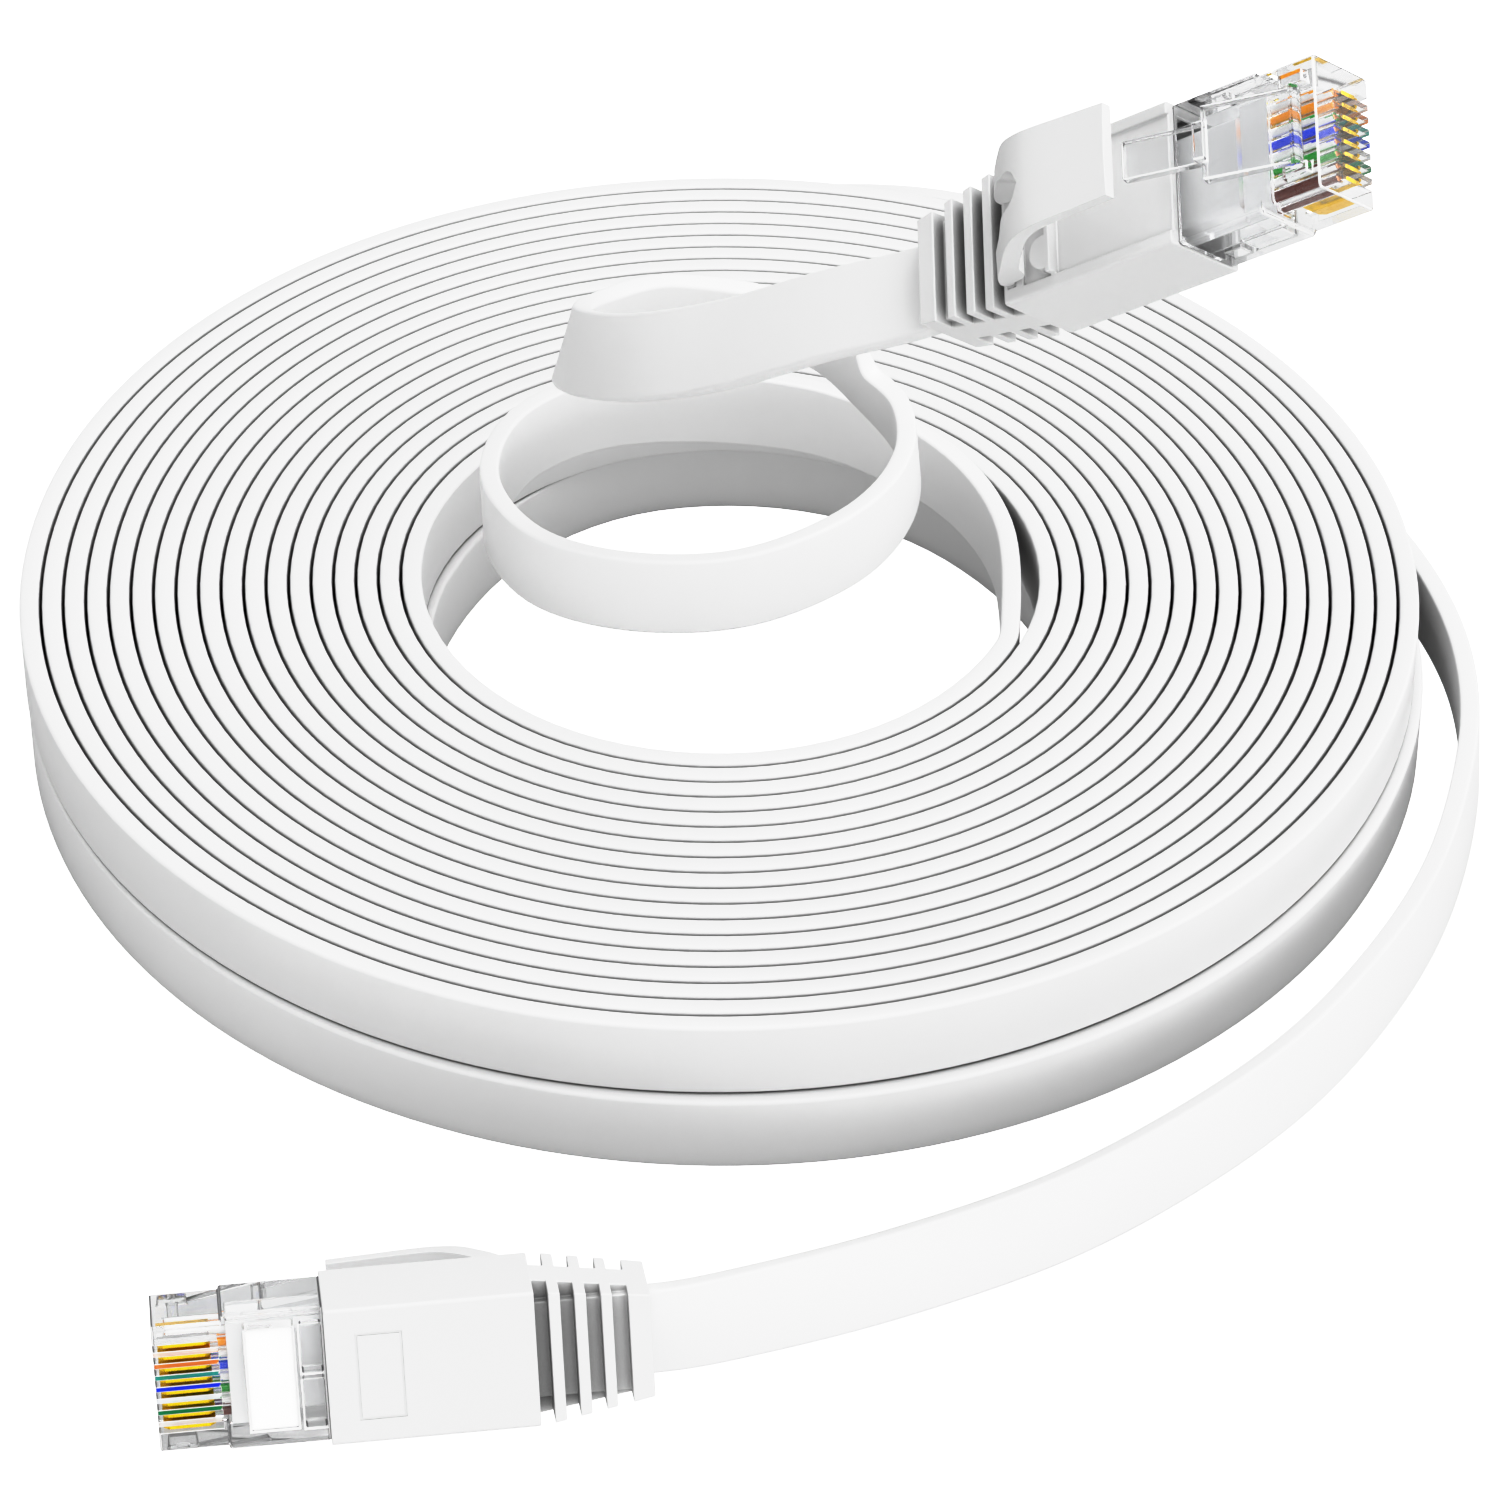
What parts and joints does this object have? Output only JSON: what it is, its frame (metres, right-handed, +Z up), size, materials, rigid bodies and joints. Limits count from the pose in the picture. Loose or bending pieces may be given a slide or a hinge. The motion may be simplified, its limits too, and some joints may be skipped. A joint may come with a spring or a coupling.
{
  "type": "flat network patch cable",
  "caption": "Flat white twisted-pair patch cable wound on edge into a two-layer coil, with a clear modular plug, spring latch and snagless boot at each end.",
  "frame": {"origin": "centre of the upper layer of the coil, on the surface that the coil stands on", "axes": "+Z up along the coil's axis; +X to the right, -Y towards the plug that lies on the floor"},
  "size_m": [0.1349, 0.1668, 0.1061],
  "materials": {
    "jacket": "satin white PVC",
    "boot": "satin light-grey soft PVC",
    "clear_plastic": "clear polycarbonate",
    "insert": "white insert plastic",
    "gold": "gold plated",
    "wire_white_orange": "insulation, white with orange stripe",
    "wire_orange": "insulation",
    "wire_white_green": "insulation, white with green stripe",
    "wire_blue": "insulation",
    "wire_white_blue": "insulation, white with blue stripe",
    "wire_green": "insulation",
    "wire_white_brown": "insulation, white with brown stripe",
    "wire_brown": "insulation"
  },
  "bodies": {
    "root": {"cable_coil_upper": "jacket", "cable_coil_lower": "jacket", "cable_lead": "jacket", "cable_tail": "jacket", "housing_a": "clear_plastic", "contacts_a": "gold", "load_bar_a": "insert", "strain_bar_a": "insert", "cable_end_a": "jacket", "boot_a": "boot", "wire_white_orange_a": "wire_white_orange", "wire_orange_a": "wire_orange", "wire_white_green_a": "wire_white_green", "wire_blue_a": "wire_blue", "wire_white_blue_a": "wire_white_blue", "wire_green_a": "wire_green", "wire_white_brown_a": "wire_white_brown", "wire_brown_a": "wire_brown", "housing_b": "clear_plastic", "contacts_b": "gold", "load_bar_b": "insert", "strain_bar_b": "insert", "cable_end_b": "jacket", "boot_b": "boot", "wire_white_orange_b": "wire_white_orange", "wire_orange_b": "wire_orange", "wire_white_green_b": "wire_white_green", "wire_blue_b": "wire_blue", "wire_white_blue_b": "wire_white_blue", "wire_green_b": "wire_green", "wire_white_brown_b": "wire_white_brown", "wire_brown_b": "wire_brown"},
    "latch_a": {"latch_a": "clear_plastic"},
    "guard_a": {"latch_guard_a": "boot"},
    "latch_b": {"latch_b": "clear_plastic"},
    "guard_b": {"latch_guard_b": "boot"}
  },
  "joints": [
    {"name": "guard_a_press", "type": "hinge", "parent": "root", "child": "guard_a", "pos_m": [0.02173, -0.05182, 0.08659], "axis": [-0.001, 0.8475, 0.5308], "range_deg": [0, 15], "stiffness_Nm_per_rad": 0.02},
    {"name": "latch_a_press", "type": "hinge", "parent": "root", "child": "latch_a", "pos_m": [0.04261, -0.06172, 0.10244], "axis": [0.001, -0.8475, -0.5308], "range_deg": [0, 10], "stiffness_Nm_per_rad": 0.02},
    {"name": "guard_b_press", "type": "hinge", "parent": "root", "child": "guard_b", "pos_m": [-0.01801, -0.08979, 0.00633], "axis": [-0.0358, 0.3401, 0.9397], "range_deg": [0, 15], "stiffness_Nm_per_rad": 0.02},
    {"name": "latch_b_press", "type": "hinge", "parent": "root", "child": "latch_b", "pos_m": [-0.04576, -0.09365, 0.00667], "axis": [0.0358, -0.3401, -0.9397], "range_deg": [0, 10], "stiffness_Nm_per_rad": 0.02}
  ],
  "couplings": [
    {"joint": "latch_a_press", "follows": "guard_a_press", "ratio": 0.6667},
    {"joint": "latch_b_press", "follows": "guard_b_press", "ratio": 0.6667}
  ]
}
